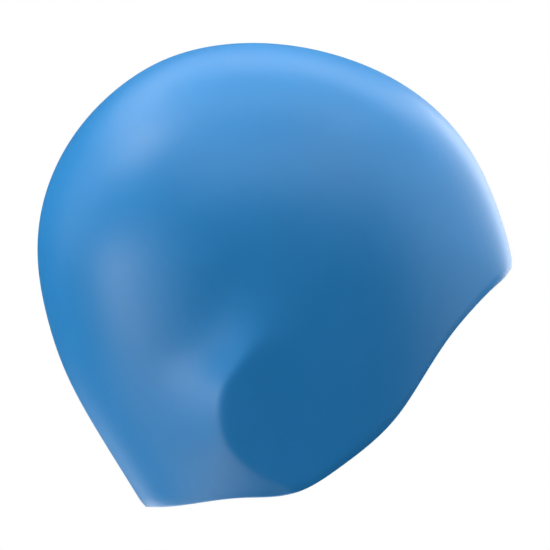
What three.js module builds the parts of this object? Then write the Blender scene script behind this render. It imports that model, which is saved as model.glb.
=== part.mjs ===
// A seamless moulded silicone swim cap with an ear pocket on each side, one closed shell in millimetres.
// X points forward to the forehead, Z up, Y to the wearer's left. The origin is the inside of the crown,
// where the top of the head sits.
import * as THREE from "three";

// Driving dimensions
const capLength = 200; // back of the head to the forehead, outside
const capWidth = 152; // side to side above the ears, outside
const capHeight = 195.5; // crown to the rim at the nape, outside
const wall = 1; // thickness of the dome
const lipWall = 1.8; // thickness at the rim
const lipBand = 6; // width of the band over which the wall thickens to the rim
const lipTuck = 0.6; // how far the very edge turns inward
const pocketDepth = 10; // how far an ear pocket stands out of the side at its crest behind the ear
const pocketForward = 14; // centre of the pocket, forward of the crown
const pocketDrop = 155; // centre of the pocket, below the crown
const pocketRadius = 26; // centre of the pocket to its crest behind the ear
const pocketTilt = 0.8; // share of its depth that the pocket loses towards the front
const pocketFoot = 25; // crest behind the ear to where the slope meets the head
const crestRound = 3.5; // half the width over which the crest turns from flat to slope
const pocketFade = 20; // distance from the middle plane over which a pocket may begin to stand out

// Fineness of the mesh
const meridianCount = 100; // even, and the same on both sides
const domeRows = 23; // rows from the crown to the lip band
const lipRows = 3; // rows across the lip band
const edgeSteps = 4; // facets of the half-round edge
const sideCrowding = 0.36; // 0 spaces the meridians evenly, more crowds them at the ears
const domeTurn = 1.08; // turn in radians from crown to rim that spaces the rows evenly
const differenceStep = 1e-4; // step, in azimuth and in depth, of slopes taken by differences
const halvings = 40; // steps of the search for the rim
const deepest = 1.1; // depth u below any rim, where that search starts

// Level sections of the dome, from the crown down.
// drop: depth below the crown, of capHeight. length: front to back, of capLength.
// middle: the section's middle forward of the crown, of capLength. width: of capWidth.
// setback: how far behind the middle the section is widest, of capLength.
// fullness: how much fuller than an ellipse the section's four shoulders are.
const sections = [
  { drop: 0.0, length: 0.0, middle: 0.0, width: 0.0, setback: 0.0, fullness: 0.04 },
  { drop: 0.028, length: 0.348, middle: 0.007, width: 0.378, setback: 0.0, fullness: 0.04 },
  { drop: 0.08, length: 0.563, middle: 0.019, width: 0.617, setback: 0.0, fullness: 0.04 },
  { drop: 0.158, length: 0.747, middle: 0.027, width: 0.808, setback: 0.0, fullness: 0.04 },
  { drop: 0.261, length: 0.888, middle: 0.031, width: 0.938, setback: 0.002, fullness: 0.04 },
  { drop: 0.365, length: 0.966, middle: 0.036, width: 0.99, setback: 0.002, fullness: 0.04 },
  { drop: 0.468, length: 1.0, middle: 0.046, width: 0.985, setback: 0.0, fullness: 0.05 },
  { drop: 0.598, length: 0.981, middle: 0.058, width: 0.935, setback: -0.012, fullness: 0.06 },
  { drop: 0.727, length: 0.911, middle: 0.068, width: 0.871, setback: -0.03, fullness: 0.08 },
  { drop: 0.857, length: 0.797, middle: 0.082, width: 0.806, setback: -0.045, fullness: 0.1 },
  { drop: 1.0, length: 0.652, middle: 0.096, width: 0.74, setback: -0.05, fullness: 0.1 },
];

// The rim seen from the side, from the nape to the forehead.
// forward: from the crown, of capLength. drop: below the crown, of capHeight.
const rimLine = [
  { forward: -0.24, drop: 1.006 },
  { forward: -0.19, drop: 1.005 },
  { forward: -0.1, drop: 0.9925 },
  { forward: -0.02, drop: 0.983 },
  { forward: 0.06, drop: 0.9785 },
  { forward: 0.11, drop: 0.9635 },
  { forward: 0.186, drop: 0.9145 },
  { forward: 0.262, drop: 0.8525 },
  { forward: 0.312, drop: 0.796 },
  { forward: 0.363, drop: 0.716 },
  { forward: 0.4135, drop: 0.6385 },
  { forward: 0.464, drop: 0.5775 },
  { forward: 0.517, drop: 0.525 },
  { forward: 0.535, drop: 0.508 },
  { forward: 0.548, drop: 0.4895 },
];

// The ear pocket by bearing round its centre, in degrees: 0 forward, 90 up, 180 back, 270 down.
// crest: centre to the line where the pocket's face ends, of pocketRadius.
// foot: from there to where the slope meets the head, of pocketFoot.
// round: softness of the crest, of crestRound.
// hollow: 1 for a straight slope, 2 for one that levels out, 3 for one that is steep only at the crest.
const pocketBearings = [
  { bearing: 0, crest: 0.75, foot: 4, round: 3.4, hollow: 2 },
  { bearing: 45, crest: 0.9, foot: 3.8, round: 4, hollow: 2 },
  { bearing: 90, crest: 1.2, foot: 2.4, round: 2.8, hollow: 2.6 },
  { bearing: 113, crest: 1.2, foot: 1.5, round: 1.3, hollow: 3 },
  { bearing: 132, crest: 1.1, foot: 1.2, round: 0.5, hollow: 3 },
  { bearing: 155, crest: 1.07, foot: 1.4, round: 0.4, hollow: 2.6 },
  { bearing: 180, crest: 1.08, foot: 1.7, round: 0.45, hollow: 2.4 },
  { bearing: 210, crest: 1.08, foot: 1.8, round: 0.45, hollow: 2.4 },
  { bearing: 232, crest: 1.08, foot: 1.5, round: 0.4, hollow: 2.6 },
  { bearing: 252, crest: 1.12, foot: 0.9, round: 0.5, hollow: 2.2 },
  { bearing: 268, crest: 1.22, foot: 0.6, round: 0.6, hollow: 2 },
  { bearing: 290, crest: 1.5, foot: 1.2, round: 1.2, hollow: 2 },
  { bearing: 325, crest: 1.25, foot: 3, round: 2.6, hollow: 2 },
];

// A natural cubic spline through the knots (xs rising, ys), returned as a function.
function spline(xs, ys) {
  const last = xs.length - 1;
  const bend = new Array(last + 1).fill(0);
  const carry = new Array(last + 1).fill(0);
  for (let i = 1; i < last; i++) {
    const before = xs[i] - xs[i - 1];
    const after = xs[i + 1] - xs[i];
    const jump = (ys[i + 1] - ys[i]) / after - (ys[i] - ys[i - 1]) / before;
    const pivot = 2 * (before + after) - before * carry[i - 1];
    carry[i] = after / pivot;
    bend[i] = (6 * jump - before * bend[i - 1]) / pivot;
  }
  for (let i = last - 1; i > 0; i--) bend[i] -= carry[i] * bend[i + 1];
  return (x) => {
    let i = 0;
    while (i < last - 1 && x > xs[i + 1]) i++;
    const span = xs[i + 1] - xs[i];
    const b = (x - xs[i]) / span;
    const a = 1 - b;
    const sag = ((a ** 3 - a) * bend[i] + (b ** 3 - b) * bend[i + 1]) * (span * span) / 6;
    return a * ys[i] + b * ys[i + 1] + sag;
  };
}

// A column of the sections as a function of u, the square root of the drop. Mirrored about the crown,
// so that lengths and widths pass straight through it (sign -1) and the rest is level there (sign 1).
const depths = sections.map((row) => Math.sqrt(row.drop));
function sectionColumn(name, size, sign) {
  const values = sections.map((row) => row[name] * size);
  const mirror = (list, s) => list.slice(1).reverse().map((v) => s * v);
  return spline([...mirror(depths, -1), ...depths], [...mirror(values, sign), ...values]);
}
const halfLength = sectionColumn("length", capLength / 2, -1);
const halfWidth = sectionColumn("width", capWidth / 2, -1);
const middle = sectionColumn("middle", capLength, 1);
const setback = sectionColumn("setback", capLength, 1);
const fullness = sectionColumn("fullness", 1, 1);

const rimDrop = spline(
  rimLine.map((p) => p.forward * capLength),
  rimLine.map((p) => p.drop),
);

// A column of the pocket's table as a function of the bearing, the same again after a full turn.
function bearingColumn(name, size) {
  const turns = [-360, 0, 360];
  const knots = turns.flatMap((turn) => pocketBearings.map((row) => row.bearing + turn));
  const values = turns.flatMap(() => pocketBearings.map((row) => row[name] * size));
  return spline(knots, values);
}
const crestReach = bearingColumn("crest", pocketRadius);
const footReach = bearingColumn("foot", pocketFoot);
const softness = bearingColumn("round", crestRound);
const hollow = bearingColumn("hollow", 1);

// How far down the slope, as a share of it, a point lies that is this far beyond the crest.
function slopeShare(beyond, foot, round) {
  return (beyond + Math.hypot(beyond, round)) / 2 / foot;
}

// How far the pocket stands out at a point of the side view: its full depth at the crest behind the
// ear, less towards the front, and beyond the rounded crest a slope down to the head.
function pocketRise(x, z) {
  const forward = x - pocketForward;
  const up = z - (wall - pocketDrop);
  const bearing = (THREE.MathUtils.radToDeg(Math.atan2(up, forward)) + 360) % 360;
  const crest = crestReach(bearing);
  const foot = footReach(bearing);
  const round = softness(bearing);
  const start = slopeShare(-crest, foot, round);
  const down = slopeShare(Math.hypot(forward, up) - crest, foot, round) - start;
  const across = slopeShare(forward + crestReach(180), pocketRadius, crestRound);
  const face = 1 - pocketTilt * (1 - Math.exp(-across));
  return pocketDepth * face * (1 - Math.min(down, 1)) ** hollow(bearing);
}

// The outside of the cap at azimuth phi (0 forward) and depth u.
function outside(phi, u) {
  const c = Math.cos(phi);
  const s = Math.sin(phi);
  const x = middle(u) + halfLength(u) * c - setback(u) * s * s;
  const z = wall - capHeight * u * u;
  const side = halfWidth(u) * s * (1 + fullness(u) * c * c);
  const outward = Math.tanh(side / pocketFade);
  return new THREE.Vector3(x, side + outward * pocketRise(x, z), z);
}

// The surface's rate of change down the meridian, for each unit of depth u.
function slopeDown(phi, u) {
  const ahead = outside(phi, u + differenceStep);
  const behind = outside(phi, u - differenceStep);
  return ahead.sub(behind).divideScalar(2 * differenceStep);
}

function outwardNormal(phi, u) {
  const across = outside(phi + differenceStep, u).sub(outside(phi - differenceStep, u));
  return slopeDown(phi, u).cross(across).normalize();
}

// The depth at which the meridian phi meets the rim.
function rimDepth(phi) {
  let above = 0;
  let below = deepest;
  for (let i = 0; i < halvings; i++) {
    const u = (above + below) / 2;
    if (u * u > rimDrop(outside(phi, u).x)) below = u;
    else above = u;
  }
  return (above + below) / 2;
}

// The depths of one meridian's rows, each with its share of the way across the lip band.
function rowsOf(phi) {
  const end = rimDepth(phi);
  const speed = slopeDown(phi, end).length();
  const bandStart = end - lipBand / speed;
  const edgeStart = end - lipWall / 2 / speed;
  const rows = [];
  for (let i = 1; i <= domeRows; i++) {
    const reach = Math.sin((domeTurn * i) / domeRows) / Math.sin(domeTurn);
    rows.push({ u: bandStart * reach, share: 0 });
  }
  for (let i = 1; i <= lipRows; i++) {
    const share = i / lipRows;
    rows.push({ u: bandStart + (edgeStart - bandStart) * share, share });
  }
  return rows;
}

// One meridian of the shell: its outside points from crown to rim, and its inside points back up.
function meridian(phi) {
  const outer = [];
  const inner = [];
  for (const { u, share } of rowsOf(phi)) {
    const normal = outwardNormal(phi, u);
    const thickness = wall + (lipWall - wall) * THREE.MathUtils.smoothstep(share, 0, 1);
    const point = outside(phi, u).addScaledVector(normal, -lipTuck * share ** 2);
    outer.push(point);
    inner.unshift(point.clone().addScaledVector(normal, -thickness));
  }
  return { outer, inner };
}

// The half-round edge between the last outside point and the first inside point of a meridian.
// alongRim is the direction of the rim there, so that the edge is square to it.
function edge(from, to, alongRim) {
  const centre = from.clone().lerp(to, 0.5);
  const outward = from.clone().sub(centre);
  const downward = outward.clone().cross(alongRim).normalize().multiplyScalar(outward.length());
  const points = [];
  for (let i = 1; i < edgeSteps; i++) {
    const turn = (Math.PI * i) / edgeSteps;
    const point = centre.clone().addScaledVector(outward, Math.cos(turn));
    points.push(point.addScaledVector(downward, Math.sin(turn)));
  }
  return points;
}

function capGeometry() {
  const meridians = [];
  for (let j = 0; j < meridianCount; j++) {
    const even = (2 * Math.PI * j) / meridianCount;
    meridians.push(meridian(even + (sideCrowding * Math.sin(2 * even)) / 2));
  }
  const positions = [];
  const addPoint = (point) => positions.push(...point.toArray()) / 3 - 1;
  const outerPole = addPoint(new THREE.Vector3(0, 0, wall));
  const innerPole = addPoint(new THREE.Vector3(0, 0, 0));
  const rings = meridians.map(({ outer, inner }, j) => {
    const before = meridians[(j + meridianCount - 1) % meridianCount].outer.at(-1);
    const after = meridians[(j + 1) % meridianCount].outer.at(-1);
    const alongRim = after.clone().sub(before);
    return [...outer, ...edge(outer.at(-1), inner[0], alongRim), ...inner].map(addPoint);
  });
  // Cells are split alike on both skins and mirrored left to right, which keeps the wall even.
  const faces = [];
  for (let j = 0; j < meridianCount; j++) {
    const here = rings[j];
    const next = rings[(j + 1) % meridianCount];
    const last = here.length - 1;
    faces.push(outerPole, here[0], next[0]);
    for (let i = 0; i < last; i++) {
      const towardsNext = i < last / 2 === j < meridianCount / 2;
      if (towardsNext) {
        faces.push(here[i], here[i + 1], next[i + 1]);
        faces.push(here[i], next[i + 1], next[i]);
      } else {
        faces.push(here[i], here[i + 1], next[i]);
        faces.push(here[i + 1], next[i + 1], next[i]);
      }
    }
    faces.push(here[last], innerPole, next[last]);
  }
  const geometry = new THREE.BufferGeometry();
  geometry.setAttribute("position", new THREE.Float32BufferAttribute(positions, 3));
  geometry.setIndex(faces);
  geometry.computeVertexNormals();
  return geometry;
}

const silicone = new THREE.MeshStandardMaterial({ color: 0x2f7fc4, roughness: 0.45, metalness: 0 });
const cap = new THREE.Mesh(capGeometry(), silicone);
cap.name = "cap";

const swimCap = new THREE.Group();
swimCap.add(cap);
export default swimCap;
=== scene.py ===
"""A moulded silicone swim cap with an ear pocket on each side, seen from the wearer's right.

X points forward to the forehead, Z up, and the origin is the inside of the crown. All lengths are
in metres.
"""

import math

import bpy
import numpy as np
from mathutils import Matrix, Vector


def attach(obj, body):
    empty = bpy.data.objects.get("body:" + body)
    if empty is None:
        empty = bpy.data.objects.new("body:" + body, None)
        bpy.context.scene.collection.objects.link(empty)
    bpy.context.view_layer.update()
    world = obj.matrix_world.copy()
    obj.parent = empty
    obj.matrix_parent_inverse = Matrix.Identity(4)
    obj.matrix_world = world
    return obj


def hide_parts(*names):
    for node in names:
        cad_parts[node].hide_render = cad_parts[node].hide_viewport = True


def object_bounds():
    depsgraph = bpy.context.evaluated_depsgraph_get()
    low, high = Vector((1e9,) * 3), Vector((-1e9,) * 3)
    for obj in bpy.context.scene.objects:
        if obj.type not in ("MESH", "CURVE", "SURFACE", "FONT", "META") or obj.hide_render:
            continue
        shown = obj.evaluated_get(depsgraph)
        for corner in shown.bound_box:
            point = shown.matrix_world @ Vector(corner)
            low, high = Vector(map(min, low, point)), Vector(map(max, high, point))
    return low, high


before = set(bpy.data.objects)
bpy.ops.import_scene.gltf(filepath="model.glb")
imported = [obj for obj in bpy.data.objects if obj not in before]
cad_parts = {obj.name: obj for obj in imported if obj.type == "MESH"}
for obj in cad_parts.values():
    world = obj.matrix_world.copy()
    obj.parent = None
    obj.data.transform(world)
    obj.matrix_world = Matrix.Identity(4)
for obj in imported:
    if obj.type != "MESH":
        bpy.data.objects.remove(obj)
cad_low, cad_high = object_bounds()

# The cap over all, its wall, and the lip at the rim. tuck: how far the lip is drawn in.
CAP_LENGTH = 0.2
CAP_WIDTH = 0.152
CAP_HEIGHT = 0.1955
WALL = 0.001
LIP_WALL = 0.0018
LIP_BAND = 0.006
LIP_TUCK = 0.0006

# The ear pocket: where its centre lies from the crown, how far it stands out, and the sizes that its
# table is a share of. tilt: how much lower its face gets from back to front. fade: how far from the
# middle plane the pocket reaches most of its depth.
POCKET_DEPTH = 0.01
POCKET_FORWARD = 0.014
POCKET_DROP = 0.155
POCKET_RADIUS = 0.026
POCKET_TILT = 0.8
POCKET_FOOT = 0.025
CREST_ROUND = 0.0035
POCKET_FADE = 0.02

# Fineness of the mesh. crowding: how much closer the meridians lie at the sides than at the front.
# turn: how much closer the rows lie near the rim than near the crown, as the angle of a sine.
MERIDIANS = 320
DOME_ROWS = 124
LIP_ROWS = 8
EDGE_STEPS = 10
SIDE_CROWDING = 0.36
DOME_TURN = 1.08

# The step for slopes, and the depth and number of halvings for the search of the rim.
DIFFERENCE_STEP = 1e-4
DEEPEST = 1.1
HALVINGS = 40

# Level sections of the dome, from the crown down.
# drop: depth below the crown, of CAP_HEIGHT. length: front to back, of CAP_LENGTH.
# middle: the section's middle forward of the crown, of CAP_LENGTH. width: of CAP_WIDTH.
# setback: how far behind the middle the section is widest, of CAP_LENGTH.
# fullness: how much fuller than an ellipse the section's four shoulders are.
SECTION_COLUMNS = ("drop", "length", "middle", "width", "setback", "fullness")
SECTIONS = [
    (0.0, 0.0, 0.0, 0.0, 0.0, 0.04),
    (0.028, 0.348, 0.007, 0.378, 0.0, 0.04),
    (0.08, 0.563, 0.019, 0.617, 0.0, 0.04),
    (0.158, 0.747, 0.027, 0.808, 0.0, 0.04),
    (0.261, 0.888, 0.031, 0.938, 0.002, 0.04),
    (0.365, 0.966, 0.036, 0.99, 0.002, 0.04),
    (0.468, 1.0, 0.046, 0.985, 0.0, 0.05),
    (0.598, 0.981, 0.058, 0.935, -0.012, 0.06),
    (0.727, 0.911, 0.068, 0.871, -0.03, 0.08),
    (0.857, 0.797, 0.082, 0.806, -0.045, 0.1),
    (1.0, 0.652, 0.096, 0.74, -0.05, 0.1),
]

# The rim seen from the side, from the nape to the forehead.
# forward: from the crown, of CAP_LENGTH. drop: below the crown, of CAP_HEIGHT.
RIM_COLUMNS = ("forward", "drop")
RIM_LINE = [
    (-0.24, 1.006),
    (-0.19, 1.005),
    (-0.1, 0.9925),
    (-0.02, 0.983),
    (0.06, 0.9785),
    (0.11, 0.9635),
    (0.186, 0.9145),
    (0.262, 0.8525),
    (0.312, 0.796),
    (0.363, 0.716),
    (0.4135, 0.6385),
    (0.464, 0.5775),
    (0.517, 0.525),
    (0.535, 0.508),
    (0.548, 0.4895),
]

# The ear pocket by bearing round its centre, in degrees: 0 forward, 90 up, 180 back, 270 down.
# crest: centre to the line where the pocket's face ends, of POCKET_RADIUS.
# foot: from there to where the slope meets the head, of POCKET_FOOT.
# round: softness of the crest, of CREST_ROUND.
# hollow: 1 for a straight slope, 2 for one that levels out, 3 for one steep only at the crest.
POCKET_COLUMNS = ("bearing", "crest", "foot", "round", "hollow")
POCKET_BEARINGS = [
    (0, 0.75, 4, 3.4, 2),
    (45, 0.9, 3.8, 4, 2),
    (90, 1.2, 2.4, 2.8, 2.6),
    (113, 1.2, 1.5, 1.3, 3),
    (132, 1.1, 1.2, 0.5, 3),
    (155, 1.07, 1.4, 0.4, 2.6),
    (180, 1.08, 1.7, 0.45, 2.4),
    (210, 1.08, 1.8, 0.45, 2.4),
    (232, 1.08, 1.5, 0.4, 2.6),
    (252, 1.12, 0.9, 0.5, 2.2),
    (268, 1.22, 0.6, 0.6, 2),
    (290, 1.5, 1.2, 1.2, 2),
    (325, 1.25, 3, 2.6, 2),
]

# The camera looks along +Y through a long lens, and the photo's frame spans this much at the middle
# plane. The centre is forward and up from the crown, and the sensor is in millimetres.
FRAME_SPAN = 0.232
FRAME_CENTRE = (0.0093, -0.0969)
CAMERA_DISTANCE = 6.0
CAMERA_REACH = 24.0
SENSOR = 36.0

# A pale disc below the cap, just under the camera's frame.
FLOOR_GAP = 0.11
FLOOR_RADIUS = 4.0
FLOOR_SIDES = 96
FLOOR_GREY = (0.3, 0.3, 0.3, 1)
FLOOR_ROUGHNESS = 0.8
FLOOR_GLOW = 0.9

# Softboxes round the cap, with none near the camera, so that the side facing it stays deep in
# colour.
# turn: bearing in degrees from the camera's side, positive to the right. height: elevation.
# away: distance from the cap's middle. wide and tall: sides. glow: radiance of the face.
LIGHT_COLUMNS = ("name", "turn", "height", "away", "wide", "tall", "glow")
LIGHTS = [
    ("overhead", 0, 80, 1.1, 1.5, 0.6, 1.9),
    ("front_high", 0, 37, 1.2, 1.6, 0.7, 1.75),
    ("back_top", 180, 58, 1.1, 1.6, 0.5, 2.3),
    ("right_top", 60, 45, 1.2, 1.0, 0.8, 0.95),
    ("right_side", 80, 10, 1.2, 1.2, 1.2, 1.3),
    ("right_back", 125, 25, 1.1, 0.6, 0.9, 1.8),
    ("right_strip", 150, 8, 1.1, 0.3, 0.9, 4.6),
    ("left_corner", -110, 48, 1.1, 0.4, 0.4, 3.2),
    ("left_mid", -76, 42, 1.1, 0.4, 0.4, 7.0),
    ("left_side", -98, 13, 1.2, 0.8, 0.8, 0.9),
    ("left_low", -62, -13, 1.1, 0.45, 0.34, 7.4),
    ("left_floor", -72, -50, 1.1, 0.8, 0.6, 2.3),
    ("back_floor", 180, -45, 1.1, 1.6, 0.8, 3.4),
]

# The background's strength, first as the cap sees it and then as the camera does.
ROOM_GLOW = 0.02
BACKGROUND = 1.0
WHITE = (1, 1, 1, 1)

# The silicone's colour and how far its tint strays from it, and how much light passes into its skin
# and how deep.
SILICONE_BLUE = (0.018, 0.245, 0.6, 1)
TINT_SPREAD = 0.03
SILICONE_IOR = 1.5
SKIN_SHARE = 0.12
SKIN_RADIUS = (0.25, 0.6, 1.0)
SKIN_DEPTH = 0.002

# Its mottled sheen: blotches to the metre, the ends of their noise, and the roughness at those ends.
MOTTLE_SCALE = 22
MOTTLE_ENDS = (0.3, 0.7)
ROUGHNESS_ENDS = (0.4, 0.46)
INSIDE_DRYNESS = 0.15

# Its frosted grain.
GRAIN_SCALE = 1800
GRAIN_STRENGTH = 0.12
GRAIN_DEPTH = 0.00004


def column(table, columns, name):
    """One named column of a table, as an array."""
    return np.array([row[columns.index(name)] for row in table], float)


def natural_spline(knots, values):
    """A natural cubic spline through the knots, as a function of an array."""
    spans = np.diff(knots)
    last = len(knots) - 1
    system = np.eye(last + 1)
    jumps = np.zeros(last + 1)
    for i in range(1, last):
        before, after = spans[i - 1], spans[i]
        system[i, i - 1 : i + 2] = before, 2 * (before + after), after
        jumps[i] = 6 * ((values[i + 1] - values[i]) / after - (values[i] - values[i - 1]) / before)
    bends = np.linalg.solve(system, jumps)

    def at(x):
        i = np.clip(np.searchsorted(knots, x) - 1, 0, last - 1)
        b = (x - knots[i]) / spans[i]
        a = 1 - b
        sag = ((a**3 - a) * bends[i] + (b**3 - b) * bends[i + 1]) * spans[i] ** 2 / 6
        return a * values[i] + b * values[i + 1] + sag

    return at


def section_column(name, size, sign):
    """A column of the sections against u, the square root of the drop, mirrored about the crown.

    Lengths and widths pass straight through the crown (sign -1), and the rest is level there (sign 1).
    """
    depths = np.sqrt(column(SECTIONS, SECTION_COLUMNS, "drop"))
    values = column(SECTIONS, SECTION_COLUMNS, name) * size
    return natural_spline(
        np.concatenate([-depths[:0:-1], depths]),
        np.concatenate([sign * values[:0:-1], values]),
    )


half_length = section_column("length", CAP_LENGTH / 2, -1)
half_width = section_column("width", CAP_WIDTH / 2, -1)
middle = section_column("middle", CAP_LENGTH, 1)
setback = section_column("setback", CAP_LENGTH, 1)
fullness = section_column("fullness", 1, 1)
rim_drop = natural_spline(
    column(RIM_LINE, RIM_COLUMNS, "forward") * CAP_LENGTH,
    column(RIM_LINE, RIM_COLUMNS, "drop"),
)


def bearing_column(name, size):
    """A column of the pocket's table against the bearing, the same again after a full turn."""
    knots = column(POCKET_BEARINGS, POCKET_COLUMNS, "bearing")
    values = column(POCKET_BEARINGS, POCKET_COLUMNS, name) * size
    return natural_spline(np.concatenate([knots - 360, knots, knots + 360]), np.tile(values, 3))


crest_reach = bearing_column("crest", POCKET_RADIUS)
foot_reach = bearing_column("foot", POCKET_FOOT)
softness = bearing_column("round", CREST_ROUND)
hollow = bearing_column("hollow", 1)


def slope_share(beyond, foot, soft):
    """How far down the slope, as a share of it, a point lies that is this far beyond the crest."""
    return (beyond + np.hypot(beyond, soft)) / 2 / foot


def pocket_rise(x, z):
    """How far the ear pocket stands out at points of the side view."""
    forward = x - POCKET_FORWARD
    up = z - (WALL - POCKET_DROP)
    bearing = np.degrees(np.arctan2(up, forward)) % 360
    crest, foot, soft = crest_reach(bearing), foot_reach(bearing), softness(bearing)
    down = slope_share(np.hypot(forward, up) - crest, foot, soft) - slope_share(-crest, foot, soft)
    across = slope_share(forward + crest_reach(180), POCKET_RADIUS, CREST_ROUND)
    face = 1 - POCKET_TILT * (1 - np.exp(-across))
    return POCKET_DEPTH * face * (1 - np.minimum(down, 1)) ** hollow(bearing)


def outside(phi, u):
    """The outside of the cap at azimuth phi (0 forward) and depth u."""
    c, s = np.cos(phi), np.sin(phi)
    x = middle(u) + half_length(u) * c - setback(u) * s**2
    z = WALL - CAP_HEIGHT * u**2
    side = half_width(u) * s * (1 + fullness(u) * c**2)
    return np.stack([x, side + np.tanh(side / POCKET_FADE) * pocket_rise(x, z), z], axis=-1)


def slope_down(phi, u):
    """The surface's rate of change down the meridian, for each unit of depth u."""
    step = DIFFERENCE_STEP
    return (outside(phi, u + step) - outside(phi, u - step)) / (2 * step)


def unit(vectors):
    return vectors / np.linalg.norm(vectors, axis=-1, keepdims=True)


def outward_normal(phi, u):
    across = outside(phi + DIFFERENCE_STEP, u) - outside(phi - DIFFERENCE_STEP, u)
    return unit(np.cross(slope_down(phi, u), across))


def rim_depth(phi):
    """The depth at which each meridian meets the rim."""
    above = np.zeros_like(phi)
    below = np.full_like(phi, DEEPEST)
    for _ in range(HALVINGS):
        u = (above + below) / 2
        past = u**2 > rim_drop(outside(phi, u)[..., 0])
        above, below = np.where(past, above, u), np.where(past, u, below)
    return (above + below) / 2


def row_depths(phi):
    """Depth u of every row on every meridian, and each row's share of the way across the lip band."""
    end = rim_depth(phi)
    speed = np.linalg.norm(slope_down(phi, end), axis=-1)
    band_start = end - LIP_BAND / speed
    edge_start = end - LIP_WALL / 2 / speed
    dome = np.sin(DOME_TURN * np.arange(1, DOME_ROWS + 1) / DOME_ROWS) / math.sin(DOME_TURN)
    lip = np.arange(1, LIP_ROWS + 1) / LIP_ROWS
    dome_rows = band_start[:, None] * dome
    lip_rows = band_start[:, None] + (edge_start - band_start)[:, None] * lip
    share = np.concatenate([np.zeros(DOME_ROWS), lip])
    return np.concatenate([dome_rows, lip_rows], axis=1), share


def edge_points(outer_end, inner_end):
    """The half-round edge between the last outside and the first inside point of each meridian."""
    centre = (outer_end + inner_end) / 2
    outward = outer_end - centre
    along_rim = np.roll(outer_end, -1, axis=0) - np.roll(outer_end, 1, axis=0)
    radius = np.linalg.norm(outward, axis=-1, keepdims=True)
    downward = unit(np.cross(outward, along_rim)) * radius
    turns = math.pi * np.arange(1, EDGE_STEPS) / EDGE_STEPS
    return np.stack([centre + outward * math.cos(t) + downward * math.sin(t) for t in turns], axis=1)


def shell_points():
    """Points of the shell, a row for each meridian: down the outside, round the edge, up the inside."""
    even = 2 * math.pi * np.arange(MERIDIANS) / MERIDIANS
    phi = even + SIDE_CROWDING * np.sin(2 * even) / 2
    u, share = row_depths(phi)
    grid = np.broadcast_to(phi[:, None], u.shape)
    normal = outward_normal(grid, u)
    thickness = WALL + (LIP_WALL - WALL) * share**2 * (3 - 2 * share)
    outer = outside(grid, u) - normal * (LIP_TUCK * share**2)[:, None]
    inner = (outer - normal * thickness[:, None])[:, ::-1]
    return np.concatenate([outer, edge_points(outer[:, -1], inner[:, 0]), inner], axis=1)


def shell_mesh(name):
    rings = shell_points()
    count, length = rings.shape[:2]
    vertices = np.concatenate([rings.reshape(-1, 3), [[0, 0, WALL], [0, 0, 0]]])
    outer_pole, inner_pole = count * length, count * length + 1
    index = np.arange(count * length).reshape(count, length)
    beside = np.roll(index, -1, axis=0)
    corners = [index[:, :-1], index[:, 1:], beside[:, 1:], beside[:, :-1]]
    quads = np.stack(corners, axis=-1).reshape(-1, 4)
    outer_fan = [(outer_pole, a, b) for a, b in zip(index[:, 0], beside[:, 0])]
    inner_fan = [(a, inner_pole, b) for a, b in zip(index[:, -1], beside[:, -1])]
    mesh = bpy.data.meshes.new(name)
    mesh.from_pydata(vertices.tolist(), [], quads.tolist() + outer_fan + inner_fan)
    mesh.polygons.foreach_set("use_smooth", [True] * len(mesh.polygons))
    mark_inside(mesh, count, length)
    mesh.update()
    return mesh


def mark_inside(mesh, count, length):
    """A value for each vertex: 0 outside, 1 inside, and rising round the rim's edge."""
    steps = np.clip((np.arange(length) - (DOME_ROWS + LIP_ROWS)) / EDGE_STEPS, 0, 1)
    poles = [0, 1]
    inside = np.concatenate([np.tile(steps, count), poles])
    mesh.attributes.new("inside", "FLOAT", "POINT").data.foreach_set("value", inside)


def node(tree, kind, **settings):
    """A shader node with its settings, each of them an input's value or else an attribute."""
    made = tree.nodes.new(kind)
    for key, value in settings.items():
        if key in made.inputs:
            made.inputs[key].default_value = value
        else:
            setattr(made, key, value)
    return made


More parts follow.
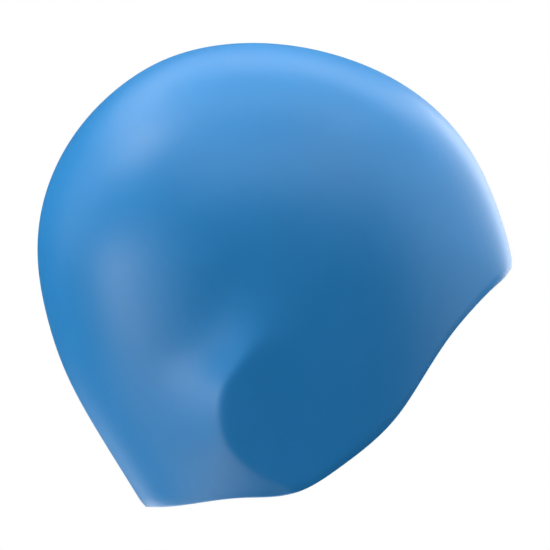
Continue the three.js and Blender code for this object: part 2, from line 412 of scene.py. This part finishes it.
def silicone_material():
    """Satin moulded silicone: a frosted grain, a slightly uneven sheen and tint, drier inside."""
    material = bpy.data.materials.new("satin_silicone")
    material.use_nodes = True
    tree = material.node_tree
    link = tree.links.new
    shader = tree.nodes["Principled BSDF"]
    shader.inputs["IOR"].default_value = SILICONE_IOR
    shader.inputs["Subsurface Weight"].default_value = SKIN_SHARE
    shader.inputs["Subsurface Radius"].default_value = SKIN_RADIUS
    shader.inputs["Subsurface Scale"].default_value = SKIN_DEPTH
    place = node(tree, "ShaderNodeTexCoord")
    mottle = node(tree, "ShaderNodeTexNoise", Scale=MOTTLE_SCALE, Detail=3, Roughness=0.5)
    grain = node(tree, "ShaderNodeTexNoise", Scale=GRAIN_SCALE, Detail=2, Roughness=0.6)
    inside = node(tree, "ShaderNodeAttribute", attribute_name="inside")
    for texture in (mottle, grain):
        link(place.outputs["Object"], texture.inputs["Vector"])
    tint = node(tree, "ShaderNodeValToRGB")
    shades = (1 - TINT_SPREAD, 1 + TINT_SPREAD)
    for stop, end, shade in zip(tint.color_ramp.elements, MOTTLE_ENDS, shades):
        stop.position = end
        stop.color = [shade * c for c in SILICONE_BLUE[:3]] + [1]
    link(mottle.outputs["Fac"], tint.inputs["Fac"])
    link(tint.outputs["Color"], shader.inputs["Base Color"])
    sheen = node(tree, "ShaderNodeMapRange")
    sheen.inputs["From Min"].default_value = MOTTLE_ENDS[0]
    sheen.inputs["From Max"].default_value = MOTTLE_ENDS[1]
    sheen.inputs["To Min"].default_value = ROUGHNESS_ENDS[0]
    sheen.inputs["To Max"].default_value = ROUGHNESS_ENDS[1]
    link(mottle.outputs["Fac"], sheen.inputs["Value"])
    dry = node(tree, "ShaderNodeMath", operation="MULTIPLY_ADD")
    dry.inputs[1].default_value = INSIDE_DRYNESS
    link(inside.outputs["Fac"], dry.inputs[0])
    link(sheen.outputs["Result"], dry.inputs[2])
    link(dry.outputs["Value"], shader.inputs["Roughness"])
    bump = node(tree, "ShaderNodeBump", Strength=GRAIN_STRENGTH, Distance=GRAIN_DEPTH)
    link(grain.outputs["Fac"], bump.inputs["Height"])
    link(bump.outputs["Normal"], shader.inputs["Normal"])
    return material


def make_cap():
    cap = bpy.data.objects.new("silicone_cap", shell_mesh("silicone_cap"))
    bpy.context.collection.objects.link(cap)
    cap.data.materials.append(silicone_material())
    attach(cap, "root")
    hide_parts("cap")
    return cap


def make_camera():
    data = bpy.data.cameras.new("camera")
    data.sensor_width = SENSOR
    data.lens = SENSOR * CAMERA_DISTANCE / FRAME_SPAN
    data.clip_end = CAMERA_REACH
    camera = bpy.data.objects.new("camera", data)
    camera.location = (FRAME_CENTRE[0], -CAMERA_DISTANCE, FRAME_CENTRE[1])
    camera.rotation_euler = (math.pi / 2, 0, 0)
    bpy.context.collection.objects.link(camera)
    bpy.context.scene.camera = camera


def towards_light(turn, height):
    """The direction from the cap's middle to a light, from its bearing and elevation in degrees."""
    turn, height = math.radians(turn), math.radians(height)
    level = math.cos(height)
    return Vector((math.sin(turn) * level, -math.cos(turn) * level, math.sin(height)))


def make_lights():
    centre = (cad_low + cad_high) / 2
    for row in LIGHTS:
        light = dict(zip(LIGHT_COLUMNS, row))
        towards = towards_light(light["turn"], light["height"])
        data = bpy.data.lights.new(light["name"], "AREA")
        data.shape = "RECTANGLE"
        data.size, data.size_y = light["wide"], light["tall"]
        data.energy = light["glow"] * math.pi * light["wide"] * light["tall"]
        lamp = bpy.data.objects.new(light["name"], data)
        lamp.location = centre + towards * light["away"]
        lamp.rotation_euler = towards.to_track_quat("Z", "Y").to_euler()
        lamp.visible_camera = False
        bpy.context.collection.objects.link(lamp)


def make_world():
    """A background that is white to the camera and nearly dark to the cap."""
    world = bpy.data.worlds.new("studio")
    bpy.context.scene.world = world
    world.use_nodes = True
    tree = world.node_tree
    link = tree.links.new
    path = node(tree, "ShaderNodeLightPath")
    seen = node(tree, "ShaderNodeMix", data_type="FLOAT")
    seen.inputs["A"].default_value = ROOM_GLOW
    seen.inputs["B"].default_value = BACKGROUND
    link(path.outputs["Is Camera Ray"], seen.inputs["Factor"])
    link(seen.outputs["Result"], tree.nodes["Background"].inputs["Strength"])
    tree.nodes["Background"].inputs["Color"].default_value = WHITE


def make_floor():
    """The disc, which the camera sees and the cap does not, so that it changes no light on the cap."""
    bpy.ops.mesh.primitive_circle_add(
        vertices=FLOOR_SIDES,
        radius=FLOOR_RADIUS,
        fill_type="NGON",
        location=(0, 0, cad_low.z - FLOOR_GAP),
    )
    floor = bpy.context.object
    floor.name = "floor"
    material = bpy.data.materials.new("pale_floor")
    material.use_nodes = True
    shader = material.node_tree.nodes["Principled BSDF"]
    shader.inputs["Base Color"].default_value = FLOOR_GREY
    shader.inputs["Roughness"].default_value = FLOOR_ROUGHNESS
    shader.inputs["Emission Color"].default_value = WHITE
    shader.inputs["Emission Strength"].default_value = FLOOR_GLOW
    floor.data.materials.append(material)
    floor.visible_diffuse = False
    floor.visible_glossy = False
    floor.visible_shadow = False


make_cap()
make_camera()
make_lights()
make_world()
make_floor()
bpy.context.scene.view_settings.view_transform = "Standard"
